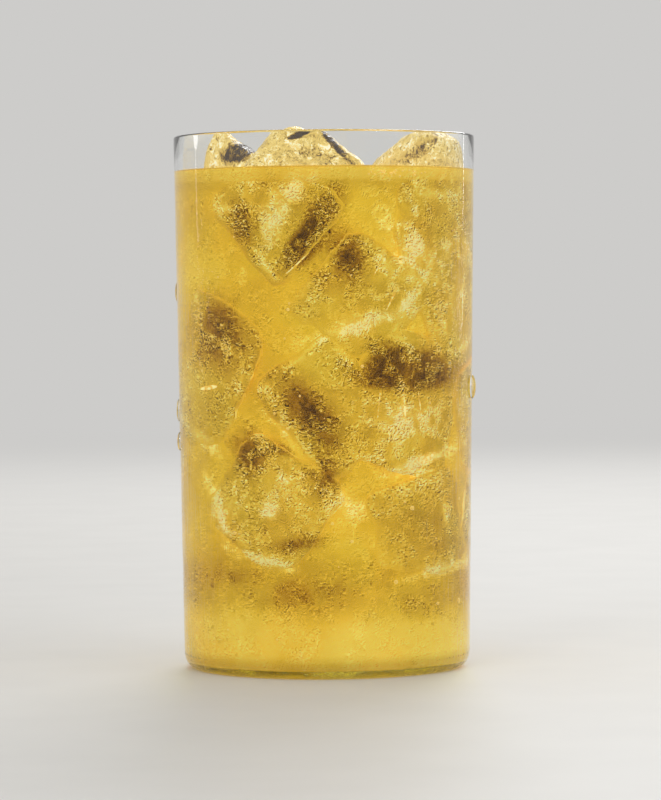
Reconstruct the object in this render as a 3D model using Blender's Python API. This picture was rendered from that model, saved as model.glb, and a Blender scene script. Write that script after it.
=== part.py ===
"""A tall, thin-walled glass of iced agave lemonade, full nearly to the rim, with three pieces of ice
standing out of it and beads of water on its outside. Metres, +Z up, the origin on the table under
the middle of the glass. The front, as it is usually seen, faces -Y."""

import math
import random

import bmesh
import bpy
from mathutils import Euler, Matrix, Vector, noise

# The glass: a slightly tapered cooler.
GLASS_HEIGHT = 0.134
RIM_RADIUS = 0.038
BASE_RADIUS = 0.0362
WALL = 0.0011
FLOOR = 0.0022
HEEL_RISE = 0.0042
HEEL_RUN = 0.0026
INNER_HEEL = 0.0030
FOOT_INNER_RADIUS = 0.0275
PUNT_RUN = 0.0030
PUNT_DEPTH = 0.0007
SIDES = 72
HEEL_STEPS = 5
RIM_STEPS = 4

# The drink stands this far below the rim and climbs the wall a little all round.
FREE_SPACE = 0.0092
MENISCUS_RISE = 0.0005
MENISCUS_RUN = 0.0024
MENISCUS_STEPS = 3
GAP = 0.0003
DRINK_LEVEL = GLASS_HEIGHT - FREE_SPACE

# The ice: each piece's centre and three sides, how square it still is, how it is turned, and how much
# narrower its low end has melted. A piece that stands on a corner is turned from there. Where a piece
# would meet the wall it has melted to the wall's curve, which leaves a film of drink between them.
ICE_CUTS = 9
ICE_TO_WALL = 0.0009
PRESSED_DEPTH = 0.0040
RELIEF_WAVES = ((0.0010, 1.3), (0.0004, 3.1))
ICE = {
    "ice_middle": {
        "centre": (-0.0058, -0.0108, 0.1177),
        "sides": (0.0251, 0.0257, 0.0253),
        "squareness": 7.0,
        "on_corner": True,
        "turn": (-9.0, 3.0, 52.0),
        "narrow": 0.40,
        "seed": 3.0,
    },
    "ice_right": {
        "centre": (0.0266, 0.0029, 0.1161),
        "sides": (0.0266, 0.0298, 0.0282),
        "squareness": 4.6,
        "on_corner": False,
        "turn": (-18.0, 13.0, 42.0),
        "narrow": 0.22,
        "seed": 11.0,
    },
    "ice_left": {
        "centre": (-0.0253, 0.0226, 0.1142),
        "sides": (0.0281, 0.0264, 0.0255),
        "squareness": 5.5,
        "on_corner": False,
        "turn": (-24.0, 53.0, -136.0),
        "narrow": 0.18,
        "seed": 7.0,
    },
}

# Beads of water on the outside: angle round the glass, height, width, length and how far they stand out.
SHOWN_BEADS = (
    (-14.0, 0.0706, 0.0034, 0.0054, 0.0008),
    (181.0, 0.0650, 0.0034, 0.0056, 0.0007),
    (184.0, 0.0572, 0.0030, 0.0046, 0.0007),
    (178.0, 0.0950, 0.0028, 0.0050, 0.0005),
)
BEAD_DETAIL = 2
BEAD_DEPTH = 0.0006

# More beads of the same kind, drawn between these limits over the back of the wall.
FURTHER_BEADS = 9
BEAD_SEED = 5
BEAD_ANGLES = (25.0, 155.0)
BEAD_PLACE_IN_STEP = (0.2, 0.8)
BEAD_HEIGHTS = (0.025, 0.105)
BEAD_WIDTHS = (0.0024, 0.0034)
BEAD_LENGTH_TO_WIDTH = (1.2, 1.7)
BEAD_STAND_OUT = (0.0005, 0.0007)

MERGE_DISTANCE = 0.000001
SHARP_ANGLE = 40.0

COLOURS = {
    "glass": ((0.93, 0.95, 0.95), 0.02, 1.0),
    "lemonade": ((0.78, 0.52, 0.06), 0.05, 0.4),
    "ice": ((0.86, 0.78, 0.48), 0.18, 0.6),
}


def clear_scene():
    for thing in list(bpy.data.objects):
        bpy.data.objects.remove(thing)


def material(name, kind):
    """A see-through finish in the colour, roughness and clearness of this kind of piece."""
    colour, roughness, clearness = COLOURS[kind]
    made = bpy.data.materials.new(name)
    made.use_nodes = True
    shader = made.node_tree.nodes["Principled BSDF"]
    shader.inputs["Base Color"].default_value = (*colour, 1.0)
    shader.inputs["Roughness"].default_value = roughness
    shader.inputs["Metallic"].default_value = 0.0
    shader.inputs["Transmission Weight"].default_value = clearness
    return made


def add_object(name, shape, finish=None):
    """Turns a bmesh into a named object with smooth sides."""
    mesh = bpy.data.meshes.new(name)
    bmesh.ops.recalc_face_normals(shape, faces=shape.faces)
    shape.to_mesh(mesh)
    shape.free()
    mesh.shade_smooth()
    mesh.set_sharp_from_angle(angle=math.radians(SHARP_ANGLE))
    thing = bpy.data.objects.new(name, mesh)
    bpy.context.scene.collection.objects.link(thing)
    if finish:
        mesh.materials.append(finish)
    return thing


def outer_radius(height):
    """The wall's outside, which leans out evenly from the heel to the rim."""
    share = (height - HEEL_RISE) / (GLASS_HEIGHT - HEEL_RISE)
    return BASE_RADIUS + (RIM_RADIUS - BASE_RADIUS) * share


def inner_radius(height):
    return outer_radius(height) - WALL


def arc(centre, radii, start, end, steps):
    """Points on part of an ellipse, from the angle start to the angle end, in degrees."""
    points = []
    for step in range(steps + 1):
        angle = math.radians(start + (end - start) * step / steps)
        across = centre[0] + radii[0] * math.cos(angle)
        up = centre[1] + radii[1] * math.sin(angle)
        points.append((across, up))
    return points


def inside_bottom(inset):
    """The floor's middle and the rounded corner up to the wall, this far inside the glass."""
    low = FLOOR + inset
    high = FLOOR + INNER_HEEL
    side = inner_radius(high) - inset
    round_ = INNER_HEEL - inset
    return [(0.0, low)] + arc((side - round_, high), (round_, round_), -90.0, 0.0, HEEL_STEPS)


def glass_profile():
    """From the floor's middle up the inside, over the rim, and down the outside to the punt."""
    rim_round = WALL / 2.0
    rim_height = GLASS_HEIGHT - rim_round
    lip = (outer_radius(rim_height) - rim_round, rim_height)
    heel = (outer_radius(HEEL_RISE) - HEEL_RUN, HEEL_RISE)
    profile = inside_bottom(0.0)
    profile += arc(lip, (rim_round, rim_round), 180.0, 0.0, RIM_STEPS)
    profile += arc(heel, (HEEL_RUN, HEEL_RISE), 0.0, -90.0, HEEL_STEPS)
    profile += [
        (FOOT_INNER_RADIUS, 0.0),
        (FOOT_INNER_RADIUS - PUNT_RUN, PUNT_DEPTH),
        (0.0, PUNT_DEPTH),
    ]
    return profile


def drink_profile():
    """From the drink's bottom up the wall, over the little climb at the edge, and in to the middle."""
    profile = inside_bottom(GAP)
    for step in range(MENISCUS_STEPS + 1):
        share = step / MENISCUS_STEPS
        rise = MENISCUS_RISE * (1.0 - share) ** 2
        height = DRINK_LEVEL + rise
        profile.append((inner_radius(height) - GAP - MENISCUS_RUN * share, height))
    profile.append((0.0, DRINK_LEVEL))
    return profile


def turned(profile):
    """Spins a profile of (radius, height) points once round the Z axis."""
    shape = bmesh.new()
    verts = [shape.verts.new((radius, 0.0, height)) for radius, height in profile]
    edges = [shape.edges.new(pair) for pair in zip(verts, verts[1:])]
    bmesh.ops.spin(
        shape,
        geom=verts + edges,
        cent=(0.0, 0.0, 0.0),
        axis=(0.0, 0.0, 1.0),
        angle=math.tau,
        steps=SIDES,
        use_merge=True,
    )
    bmesh.ops.remove_doubles(shape, verts=shape.verts, dist=MERGE_DISTANCE)
    return shape


def melted(corner, block, grow):
    """Moves a point of a plain cube, whose sides run from -1 to 1, onto the rounded, uneven block."""
    power = block["squareness"]
    size = sum(abs(value) ** power for value in corner) ** (1.0 / power)
    point = Vector(value / size * (side / 2.0 + grow) for value, side in zip(corner, block["sides"]))
    seed = Vector((block["seed"], 0.0, 0.0))
    relief = sum(depth * noise.noise(corner / size * pitch + seed) for depth, pitch in RELIEF_WAVES)
    return point + point.normalized() * relief


def pressed(point, clearance):
    """Draws a point softly in from the wall, so that the ice stays this far inside it."""
    radius = point.xy.length
    reach = inner_radius(point.z) - clearance
    free = reach - PRESSED_DEPTH
    if radius > free:
        point.xy *= (free + PRESSED_DEPTH * (1.0 - math.exp((free - radius) / PRESSED_DEPTH))) / radius
    return point


def ice_shape(block, grow=0.0):
    """One piece of ice in its place; grow swells it all over, for the hollow it leaves in the drink."""
    turn = Euler([math.radians(angle) for angle in block["turn"]]).to_matrix()
    if block["on_corner"]:
        turn = turn @ Vector((1.0, 1.0, 1.0)).rotation_difference(Vector((0.0, 0.0, 1.0))).to_matrix()
    shape = bmesh.new()
    bmesh.ops.create_cube(shape, size=2.0)
    bmesh.ops.subdivide_edges(shape, edges=shape.edges, cuts=ICE_CUTS, use_grid_fill=True)
    reach = max(block["sides"]) / 2.0
    for vert in shape.verts:
        point = turn @ melted(vert.co, block, grow)
        depth = max(0.0, -point.z / reach)
        point.xy *= 1.0 - block["narrow"] * min(1.0, depth)
        vert.co = pressed(point + Vector(block["centre"]), ICE_TO_WALL - grow)
    return shape


def bead_shape(angle, height, width, length, stand_out):
    """A bead of water, half sunk in the wall so that it can be fused to it."""
    shape = bmesh.new()
    bmesh.ops.create_icosphere(shape, subdivisions=BEAD_DETAIL, radius=1.0)
    thickness = (stand_out + BEAD_DEPTH) / 2.0
    out = outer_radius(height) + (stand_out - BEAD_DEPTH) / 2.0
    place = Matrix.Rotation(math.radians(angle), 4, "Z") @ Matrix.Translation((out, 0.0, height))
    stretch = Matrix.Diagonal((thickness, width / 2.0, length / 2.0, 1.0))
    shape.transform(place @ stretch)
    return shape


def beads():
    """The beads that show, and more like them scattered over the rest of the wall."""
    draw = random.Random(BEAD_SEED)
    placed = list(SHOWN_BEADS)
    step = (BEAD_ANGLES[1] - BEAD_ANGLES[0]) / FURTHER_BEADS
    for index in range(FURTHER_BEADS):
        angle = BEAD_ANGLES[0] + step * (index + draw.uniform(*BEAD_PLACE_IN_STEP))
        height = draw.uniform(*BEAD_HEIGHTS)
        width = draw.uniform(*BEAD_WIDTHS)
        length = width * draw.uniform(*BEAD_LENGTH_TO_WIDTH)
        placed.append((angle, height, width, length, draw.uniform(*BEAD_STAND_OUT)))
    return [bead_shape(*bead) for bead in placed]


def apply_modifiers(thing):
    """Keeps the evaluated shape, so that the cutters or fused pieces can go."""
    graph = bpy.context.evaluated_depsgraph_get()
    kept = bpy.data.meshes.new_from_object(thing.evaluated_get(graph))
    thing.modifiers.clear()
    thing.data = kept


def make_glass():
    glass = add_object("glass", turned(glass_profile()), material("clear_glass", "glass"))
    group = bpy.data.collections.new("beads")
    bpy.context.scene.collection.children.link(group)
    for index, shape in enumerate(beads()):
        bead = add_object(f"bead_{index}", shape)
        bpy.context.scene.collection.objects.unlink(bead)
        group.objects.link(bead)
    union = glass.modifiers.new("fuse_beads", "BOOLEAN")
    union.operation = "UNION"
    union.operand_type = "COLLECTION"
    union.collection = group
    apply_modifiers(glass)
    for bead in list(group.objects):
        bpy.data.objects.remove(bead)
    bpy.data.collections.remove(group)


def make_ice():
    """Each piece of ice, and a slightly larger copy that cuts its hollow in the drink."""
    cutters = []
    for name, block in ICE.items():
        add_object(name, ice_shape(block), material(f"{name}_finish", "ice"))
        cutter = add_object(f"{name}_hollow", ice_shape(block, GAP))
        cutter.hide_render = True
        cutter.display_type = "WIRE"
        cutters.append(cutter)
    return cutters


def make_drink(cutters):
    drink = add_object("lemonade", turned(drink_profile()), material("agave_lemonade", "lemonade"))
    for cutter in cutters:
        cut = drink.modifiers.new(f"round_{cutter.name}", "BOOLEAN")
        cut.operation = "DIFFERENCE"
        cut.object = cutter


def main():
    clear_scene()
    make_glass()
    make_drink(make_ice())


main()
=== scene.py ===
# %% [markdown]
# # Iced agave lemonade in a tall glass
# The solids of the glass, the drink and the three pieces of ice that stand out of it come from the
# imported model. This lesson dresses them: each gets a smooth, closed shape in the same place, and a
# finish made from shader nodes. Everything is in metres, +Z up, with the front of the glass at -Y.

import math
import random

import bpy
import numpy
from mathutils import Euler, Matrix, Vector


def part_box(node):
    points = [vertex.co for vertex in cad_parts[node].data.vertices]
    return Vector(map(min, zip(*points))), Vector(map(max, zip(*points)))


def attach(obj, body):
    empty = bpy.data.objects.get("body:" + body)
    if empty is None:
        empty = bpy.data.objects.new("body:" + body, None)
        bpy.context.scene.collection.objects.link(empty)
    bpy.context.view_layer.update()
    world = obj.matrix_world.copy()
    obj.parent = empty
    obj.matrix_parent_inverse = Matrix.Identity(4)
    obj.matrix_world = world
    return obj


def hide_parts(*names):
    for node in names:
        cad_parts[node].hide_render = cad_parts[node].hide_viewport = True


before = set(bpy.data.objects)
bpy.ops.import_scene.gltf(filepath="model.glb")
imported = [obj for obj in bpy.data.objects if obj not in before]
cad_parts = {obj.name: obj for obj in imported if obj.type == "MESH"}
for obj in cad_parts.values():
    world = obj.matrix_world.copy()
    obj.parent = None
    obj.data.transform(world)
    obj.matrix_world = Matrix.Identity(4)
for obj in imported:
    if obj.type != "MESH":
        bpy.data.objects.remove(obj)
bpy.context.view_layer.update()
bpy.ops.object.select_all(action="DESELECT")
print("packed pieces:", sorted(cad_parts))

# %% [markdown]
# ## Sizes
# The height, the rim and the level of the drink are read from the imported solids, so that the looks
# always fit them. The wall, the floor and the round corners can't be read from a box, so they are
# repeated here as named values.

# %% Driving sizes
MILLIMETRE = 0.001
glass_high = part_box("glass")[1]
drink_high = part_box("lemonade")[1]
GLASS_HEIGHT = glass_high.z
RIM_RADIUS = glass_high.y
BASE_RADIUS = 0.0362
WALL = 0.0011
FLOOR = 0.0022
HEEL_RISE = 0.0042
HEEL_RUN = 0.0026
INNER_HEEL = 0.0030
FOOT_INNER_RADIUS = 0.0275
PUNT_RUN = 0.0030
PUNT_DEPTH = 0.0007
MENISCUS_RISE = 0.0005
MENISCUS_RUN = 0.0024
DRINK_LEVEL = drink_high.z - MENISCUS_RISE
LEAN = (RIM_RADIUS - BASE_RADIUS) / (GLASS_HEIGHT - HEEL_RISE)


def outer_radius(height):
    """The wall's outside, which leans out evenly from the heel to the rim."""
    return BASE_RADIUS + LEAN * (height - HEEL_RISE)


def inner_radius(height):
    return outer_radius(height) - WALL


print(f"glass {GLASS_HEIGHT / MILLIMETRE:.1f} mm tall, {2 * RIM_RADIUS / MILLIMETRE:.1f} mm wide")
print(f"drink up to {DRINK_LEVEL / MILLIMETRE:.1f} mm")

# %% [markdown]
# ## Camera
# A long lens far away keeps the sides of a tall glass upright, and a camera a little below the level
# of the drink looks at its surface almost edge on. The camera could be turned by three angles, but a
# point to look at is easier to read. The last small turn is the picture's own tilt.

# %% Set up the camera
LENS = 153.8
CAMERA_PLACE = Vector((0.0, -0.866, 0.0926))
LOOK_AT = Vector((0.00127, 0.0, 0.0673))
ROLL = -0.4


def add_camera():
    data = bpy.data.cameras.new("camera")
    data.lens = LENS
    camera = bpy.data.objects.new("camera", data)
    bpy.context.scene.collection.objects.link(camera)
    aim = (LOOK_AT - CAMERA_PLACE).to_track_quat("-Z", "Y").to_matrix()
    camera.location = CAMERA_PLACE
    camera.rotation_euler = (aim @ Matrix.Rotation(math.radians(ROLL), 3, "Z")).to_euler()
    bpy.context.scene.camera = camera
    return camera


print("camera at", add_camera().location[:])

# %% [markdown]
# ## Wires
# A finish is a sheet of nodes joined by links. Adding each node by hand takes many lines, so two small
# classes do it. The first, Wire, is the end of one link. A sum or a product of wires adds its Math
# node, so that a mask can be written as ordinary arithmetic.


# %% Colours and wires
def srgb(red, green, blue):
    """A colour as a paint program gives it, 0 to 255, turned into the linear values of a shader."""
    shares = (red / 255.0, green / 255.0, blue / 255.0)
    return (*(s / 12.92 if s <= 0.04045 else ((s + 0.055) / 1.055) ** 2.4 for s in shares), 1.0)


class Wire:
    def __init__(self, sheet, socket):
        self.sheet = sheet
        self.socket = socket

    def math(self, operation, *values):
        return self.sheet.node("ShaderNodeMath", {"operation": operation}, dict(enumerate(values)))

    def __add__(self, other):
        return self.math("ADD", self, other)

    def __sub__(self, other):
        return self.math("SUBTRACT", self, other)

    def __mul__(self, other):
        return self.math("MULTIPLY", self, other)

    def __rsub__(self, other):
        return self.math("SUBTRACT", other, self)

    def __pow__(self, other):
        return self.math("POWER", self, other)

    def __abs__(self):
        return self.math("ABSOLUTE", self)

    __radd__ = __add__
    __rmul__ = __mul__

    def veins(self, thinness):
        """Lines where the wire passes a half, which are thinner the greater this power is."""
        return (1.0 - abs(self * 2.0 - 1.0)) ** thinness

    def ramp(self, low, high, bottom=0.0, top=1.0):
        """Goes softly from bottom, where the wire is at low, to top, where it is at high."""
        return self.sheet.node(
            "ShaderNodeMapRange",
            {"interpolation_type": "SMOOTHSTEP"},
            {0: self, 1: low, 2: high, 3: bottom, 4: top},
        )


print("a pale yellow is", [round(part, 3) for part in srgb(255, 240, 150)])

# %% [markdown]
# ## Sheets
# The second class, Sheet, holds one material. Its node method adds any node, and the others are short
# names for what is needed often. Patterns read Object coordinates, which are the same as places here,
# because no piece is moved or turned once it is made.

# %% The sheet of nodes
LIT_GRAIN_STEP = (0.00012, 0.00012, -0.00019)


class Sheet:
    def __init__(self, name):
        self.material = bpy.data.materials.new(name)
        self.material.use_nodes = True
        self.tree = self.material.node_tree
        self.tree.nodes.clear()
        self.place = self.node("ShaderNodeTexCoord", out="Object")

    def node(self, kind, settings=None, sockets=None, out=0):
        """Adds a node, sets it up, fills or links its sockets, and returns the wire of one output."""
        made = self.tree.nodes.new(kind)
        for name, value in (settings or {}).items():
            setattr(made, name, value)
        for name, value in (sockets or {}).items():
            if isinstance(value, Wire):
                self.tree.links.new(value.socket, made.inputs[name])
            else:
                made.inputs[name].default_value = value
        return Wire(self, made.outputs[out])

    def height(self):
        return self.node("ShaderNodeSeparateXYZ", None, {0: self.place}, out="Z")

    def kept(self, name):
        """What was kept for each point of the mesh under this name, or 0 if nothing was."""
        return self.node("ShaderNodeAttribute", {"attribute_name": name}, out="Fac")

    def vector(self, operation, *values, out=0):
        sockets = dict(enumerate(values))
        return self.node("ShaderNodeVectorMath", {"operation": operation}, sockets, out)

    def mix(self, first, second, share, blend="MIX"):
        """The first colour where share is 0, the second, or its blend with the first, where it is 1."""
        settings = {"data_type": "RGBA", "blend_type": blend}
        return self.node("ShaderNodeMix", settings, {0: share, 6: first, 7: second}, out=2)

    def palette(self, tone, stops):
        """Turns a tone from 0 to 1 into a colour, from stops of (tone, colour)."""
        made = self.node("ShaderNodeValToRGB", None, {0: tone}, out="Color")
        ramp = made.socket.node.color_ramp
        while len(ramp.elements) < len(stops):
            ramp.elements.new(0.5)
        for element, (place, colour) in zip(ramp.elements, stops):
            element.position = place
            element.color = colour
        return made

    def grain(self, size, detail=2.0, roughness=0.5, bend=0.0, vector=None):
        """Cloudy noise between 0 and 1, whose blotches are about this size in metres."""
        sockets = {
            "Vector": vector or self.place,
            "Scale": 1.0 / size,
            "Detail": detail,
            "Roughness": roughness,
            "Distortion": bend,
        }
        return self.node("ShaderNodeTexNoise", None, sockets, out="Fac")

    def lit_grain(self, size, **pattern):
        """A grain, and how much it rises from a place a small step away, as if lit from one side."""
        grain = self.grain(size, **pattern)
        below = self.vector("ADD", self.place, LIT_GRAIN_STEP)
        return grain, grain - self.grain(size, **pattern, vector=below)

    def bump(self, height, strength, distance):
        sockets = {"Height": height, "Strength": strength, "Distance": distance}
        return self.node("ShaderNodeBump", None, sockets)

    def surface(self, **sockets):
        named = {name.replace("_", " "): value for name, value in sockets.items()}
        return self.node("ShaderNodeBsdfPrincipled", None, named)

    def let_lamps_in(self, shader):
        """Shadow rays pass a see-through wall, so that lamps light what is behind it."""
        shadow_ray = self.node("ShaderNodeLightPath", out="Is Shadow Ray")
        clear = self.node("ShaderNodeBsdfTransparent")
        return self.node("ShaderNodeMixShader", None, {0: shadow_ray, 1: shader, 2: clear})

    def clear(self, colour, bends, **sockets):
        """Something clear and polished, from its colour and how much it bends light."""
        sockets |= {"Roughness": 0.0, "Transmission_Weight": 1.0}
        return self.let_lamps_in(self.surface(Base_Color=colour, IOR=bends, **sockets))

    def finish(self, surface, volume=None):
        out = self.tree.nodes.new("ShaderNodeOutputMaterial")
        self.tree.links.new(surface.socket, out.inputs["Surface"])
        if volume:
            self.tree.links.new(volume.socket, out.inputs["Volume"])
        return self.material


print("relief is read", LIT_GRAIN_STEP, "m away")

# %% [markdown]
# ## Floor and world
# A glass shows what stands round it, so the studio is part of its look. A photographer would use a
# sweep of paper that curves up behind. A wide disc that fades into the colour of the world hides the
# horizon just as well, and casts no shade of its own.

# %% Add the floor and the world
WORLD_COLOUR = srgb(205, 204, 202)
PAPER_COLOURS = (srgb(222, 221, 218), srgb(230, 229, 226))
PAPER_MOTTLE = 0.03
FLOOR_RADIUS = 4.0
FLOOR_SIDES = 128
FADE_START = 0.35
FADE_END = 1.60


def add_floor():
    bpy.ops.mesh.primitive_circle_add(vertices=FLOOR_SIDES, radius=FLOOR_RADIUS, fill_type="NGON")
    floor = bpy.context.object
    floor.name = "studio_floor"
    sheet = Sheet("studio_floor")
    away = sheet.vector("LENGTH", sheet.place, out="Value")
    paper = sheet.mix(*PAPER_COLOURS, sheet.grain(PAPER_MOTTLE, detail=3.0))
    lit = sheet.surface(Base_Color=paper, Roughness=0.55)
    far = sheet.node("ShaderNodeEmission", None, {"Color": WORLD_COLOUR})
    fade = away.ramp(FADE_START, FADE_END)
    blend = sheet.node("ShaderNodeMixShader", None, {0: fade, 1: lit, 2: far})
    floor.data.materials.append(sheet.finish(blend))


def add_world():
    world = bpy.data.worlds.new("studio_world")
    world.use_nodes = True
    world.node_tree.nodes["Background"].inputs["Color"].default_value = WORLD_COLOUR
    bpy.context.scene.world = world


add_floor()
add_world()
bpy.context.scene.view_settings.view_transform = "Standard"
print(f"a floor {2 * FLOOR_RADIUS:.0f} m wide, in the world's colour from {FADE_END} m on")

# %% [markdown]
# ## Lamps
# Three large lamps light the drink: one on the left, one on the right and one high behind. The small
# ones hardly light it. They are there to be mirrored: narrow ones at the sides draw the bright upright
# lines of a polished wall, and two small ones in front leave glints on the beads of water. No lamp
# shows through the glass, because a lamp seen in the drink would look like a stain.

# %% Add the lamps
# Name, turn from the front towards the right in degrees, height, distance, width, tallness and watts.
LAMPS = (
    ("key", -34.0, 0.60, 1.25, 0.60, 0.60, 3.1),
    ("fill", 58.0, 0.45, 1.40, 0.90, 0.90, 3.4),
    ("back", 168.0, 0.75, 1.20, 0.70, 0.45, 5.0),
    ("left_strip", -113.5, 0.13, 1.0, 0.018, 0.19, 0.02),
    ("left_patch", -113.5, 0.26, 1.0, 0.12, 0.10, 0.12),
    ("left_glint", -52.0, 0.5, 1.0, 0.03, 0.03, 0.25),
    ("right_glint", 40.0, 0.4, 1.0, 0.03, 0.03, 0.15),
    ("right_strip", 133.0, 0.1, 1.0, 0.012, 0.4, 0.06),
)
NOT_MIRRORED = ("key", "fill")
LAMP_AIM = Vector((0.0, 0.0, 0.07))


def add_lamp(name, turn, rise, away, wide, tall, watts):
    data = bpy.data.lights.new(name, "AREA")
    data.shape = "RECTANGLE" if name in NOT_MIRRORED else "ELLIPSE"
    data.size = wide
    data.size_y = tall
    data.energy = watts
    lamp = bpy.data.objects.new(name, data)
    bpy.context.scene.collection.objects.link(lamp)
    angle = math.radians(turn)
    lamp.location = (away * math.sin(angle), -away * math.cos(angle), rise)
    lamp.rotation_euler = (LAMP_AIM - lamp.location).to_track_quat("-Z", "Y").to_euler()
    lamp.visible_transmission = False
    lamp.visible_glossy = name not in NOT_MIRRORED


for lamp_row in LAMPS:
    add_lamp(*lamp_row)
print("lamps:", ", ".join(lamp_row[0] for lamp_row in LAMPS))

# %% [markdown]
# ## Turned shapes
# The glass and the drink are round, so each is drawn as half of its outline and spun once round the
# Z axis. A plane shrunk to one point is the start, and each further point is extruded from the last.

# %% Draw an outline and spin it
WELD = 0.000001
SEED_SIZE = 0.001
SHARP_EDGE = 35.0
SOFT_EDGE = 60.0


def select_only(piece):
    bpy.ops.object.select_all(action="DESELECT")
    piece.select_set(True)
    bpy.context.view_layer.objects.active = piece


def edit_all():
    """Goes into edit mode with the whole mesh selected."""
    bpy.ops.object.mode_set(mode="EDIT")
    bpy.ops.mesh.select_all(action="SELECT")


def settle(piece, sharp=SHARP_EDGE):
    """Puts the piece's place into its mesh, and shades its faces smooth up to a sharp angle."""
    select_only(piece)
    bpy.ops.object.transform_apply(location=True, rotation=True, scale=True)
    bpy.ops.object.shade_smooth_by_angle(angle=math.radians(sharp))


def turned(name, outline, sides):
    """A closed round shape from an outline of (radius, height) points."""
    bpy.ops.object.select_all(action="DESELECT")
    first = outline[0]
    bpy.ops.mesh.primitive_plane_add(size=SEED_SIZE, location=(first[0], 0.0, first[1]))
    piece = bpy.context.object
    piece.name = name
    edit_all()
    bpy.ops.mesh.merge(type="CENTER")
    for here, there in zip(outline, outline[1:]):
        step = (there[0] - here[0], 0.0, there[1] - here[1])
        bpy.ops.mesh.extrude_region_move(TRANSFORM_OT_translate={"value": step})
    bpy.ops.mesh.select_all(action="SELECT")
    bpy.ops.mesh.spin(steps=sides, angle=math.tau, center=(0.0, 0.0, 0.0), axis=(0.0, 0.0, 1.0))
    bpy.ops.mesh.select_all(action="SELECT")
    bpy.ops.mesh.remove_doubles(threshold=WELD)
    bpy.ops.mesh.normals_make_consistent(inside=False)
    bpy.ops.object.mode_set(mode="OBJECT")
    settle(piece)
    return piece


def report(piece):
    triangles = sum(len(face.vertices) - 2 for face in piece.data.polygons)
    shown = " x ".join(f"{side / MILLIMETRE:.1f}" for side in piece.dimensions)
    print(f"{piece.name}: {shown} mm, {triangles} triangles")


def arc(centre, radii, start, end, steps):
    """Points on part of an ellipse, from the angle start to the angle end, in degrees."""
    points = []
    for step in range(steps + 1):
        angle = math.radians(start + (end - start) * step / steps)
        across = centre[0] + radii[0] * math.cos(angle)
        up = centre[1] + radii[1] * math.sin(angle)
        points.append((across, up))
    return points


print("points closer than", WELD, "m are welded")

# %% [markdown]
# ## The glass
# The real glass is thin and even, with a rounded lip, a rounded heel and a shallow hollow under its
# foot. It could be a cylinder with a Solidify modifier, but then the lip and the heel would be hard
# work, so its whole outline is drawn, from the floor's middle over the rim and down to the hollow.

# %% Model the glass wall
GLASS_SIDES = 240
FINE_ARC = 12
RIM_ARC = 10


def inside_bottom(inset):
    """The floor's middle and the rounded corner up to the wall, this far inside the glass."""
    low = FLOOR + inset
    high = FLOOR + INNER_HEEL
    side = inner_radius(high) - inset
    bend = INNER_HEEL - inset
    return [(0.0, low)] + arc((side - bend, high), (bend, bend), -90.0, 0.0, FINE_ARC)


def glass_outline():
    rim_round = WALL / 2.0
    rim_height = GLASS_HEIGHT - rim_round
    lip = (outer_radius(rim_height) - rim_round, rim_height)
    heel = (outer_radius(HEEL_RISE) - HEEL_RUN, HEEL_RISE)
    wet_edge = DRINK_LEVEL + MENISCUS_RISE
    outline = inside_bottom(0.0)
    outline.append((inner_radius(wet_edge), wet_edge))
    outline += arc(lip, (rim_round, rim_round), 180.0, 0.0, RIM_ARC)
    outline.append((outer_radius(wet_edge), wet_edge))
    outline += arc(heel, (HEEL_RUN, HEEL_RISE), 0.0, -90.0, FINE_ARC)
    outline += [
        (FOOT_INNER_RADIUS, 0.0),
        (FOOT_INNER_RADIUS - PUNT_RUN, PUNT_DEPTH),
        (0.0, PUNT_DEPTH),
    ]
    return outline


glass_wall = turned("clear_glass_wall", glass_outline(), GLASS_SIDES)
report(glass_wall)

# %% [markdown]
# ### Beads of water
# Water from the air gathers on the cold wall as beads. Each is an egg shape half sunk in the wall, so
# that its edge is a clean oval. They could be fused to the glass, but water bends light less than
# glass does, so they are a piece of their own. A few show in front, and more are drawn at random.

# %% Model the beads of water
# Angle round the glass from +X in degrees, height, width, length and how far it stands out.
SHOWN_BEADS = (
    (-9.0, 0.0706, 0.0042, 0.0060, 0.0012),
    (181.0, 0.0650, 0.0034, 0.0056, 0.0007),
    (184.0, 0.0572, 0.0030, 0.0046, 0.0007),
    (178.0, 0.0950, 0.0028, 0.0050, 0.0005),
)
BEAD_DEPTH = 0.0006
FURTHER_BEADS = 9
BEAD_SEED = 5
BEAD_ANGLES = (25.0, 155.0)
BEAD_PLACE_IN_STEP = (0.2, 0.8)
BEAD_HEIGHTS = (0.025, 0.105)
BEAD_WIDTHS = (0.0024, 0.0034)
BEAD_LENGTH_TO_WIDTH = (1.2, 1.7)
BEAD_STAND_OUT = (0.0005, 0.0007)


def bead_sizes():
    draw = random.Random(BEAD_SEED)
    sizes = list(SHOWN_BEADS)
    step = (BEAD_ANGLES[1] - BEAD_ANGLES[0]) / FURTHER_BEADS
    for index in range(FURTHER_BEADS):
        angle = BEAD_ANGLES[0] + step * (index + draw.uniform(*BEAD_PLACE_IN_STEP))
        height = draw.uniform(*BEAD_HEIGHTS)
        width = draw.uniform(*BEAD_WIDTHS)
        length = width * draw.uniform(*BEAD_LENGTH_TO_WIDTH)
        sizes.append((angle, height, width, length, draw.uniform(*BEAD_STAND_OUT)))
    return sizes


def add_bead(angle, height, width, length, stand_out):
    thickness = (stand_out + BEAD_DEPTH) / 2.0
    out = outer_radius(height) + (stand_out - BEAD_DEPTH) / 2.0
    turn = math.radians(angle)
    bpy.ops.object.select_all(action="DESELECT")
    bpy.ops.mesh.primitive_ico_sphere_add(
        subdivisions=4,
        radius=1.0,
        location=(out * math.cos(turn), out * math.sin(turn), height),
        rotation=(0.0, 0.0, turn),
        scale=(thickness, width / 2.0, length / 2.0),
    )
    return bpy.context.object


def join(pieces, name):
    select_only(pieces[0])
    for piece in pieces:
        piece.select_set(True)
    bpy.ops.object.join()
    pieces[0].name = name
    settle(pieces[0])
    return pieces[0]


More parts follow.
